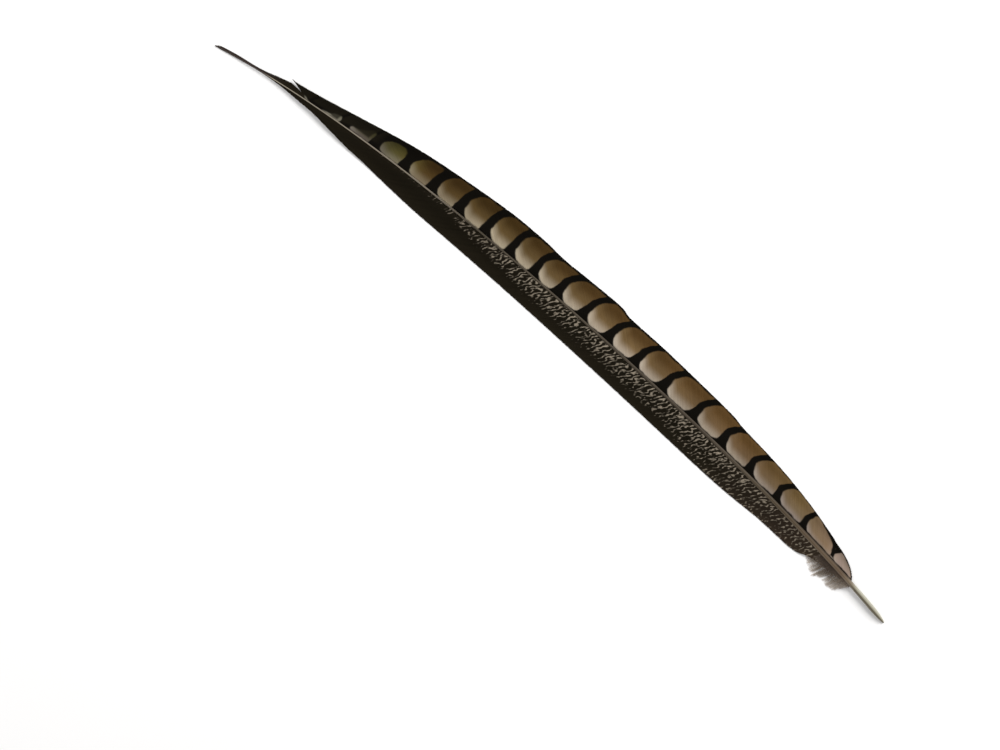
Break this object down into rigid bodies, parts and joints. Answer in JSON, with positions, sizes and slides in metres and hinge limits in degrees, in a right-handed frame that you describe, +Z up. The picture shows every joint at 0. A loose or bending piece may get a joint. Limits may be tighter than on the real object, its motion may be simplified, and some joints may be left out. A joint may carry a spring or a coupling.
{
  "type": "pheasant tail feather",
  "caption": "Long side tail feather of a pheasant lying flat: slightly bowed shaft, wide barred vane, narrow mottled vane, thin tip, bare quill.",
  "frame": {"origin": "on the surface that the feather lies on, under the middle of its overall box", "axes": "+X from the quill's end to the tip, +Z up out of the feather's upper side, the barred vane towards -Y and the mottled vane towards +Y"},
  "size_m": [0.5312, 0.0446, 0.0074],
  "materials": {
    "vane_barbs": "matt, fine parallel barbs",
    "shaft_horn": "satin horn, streaked lengthwise",
    "down": "soft, loose and matt"
  },
  "bodies": {
    "root": {"feather": "vane_barbs"}
  },
  "joints": []
}
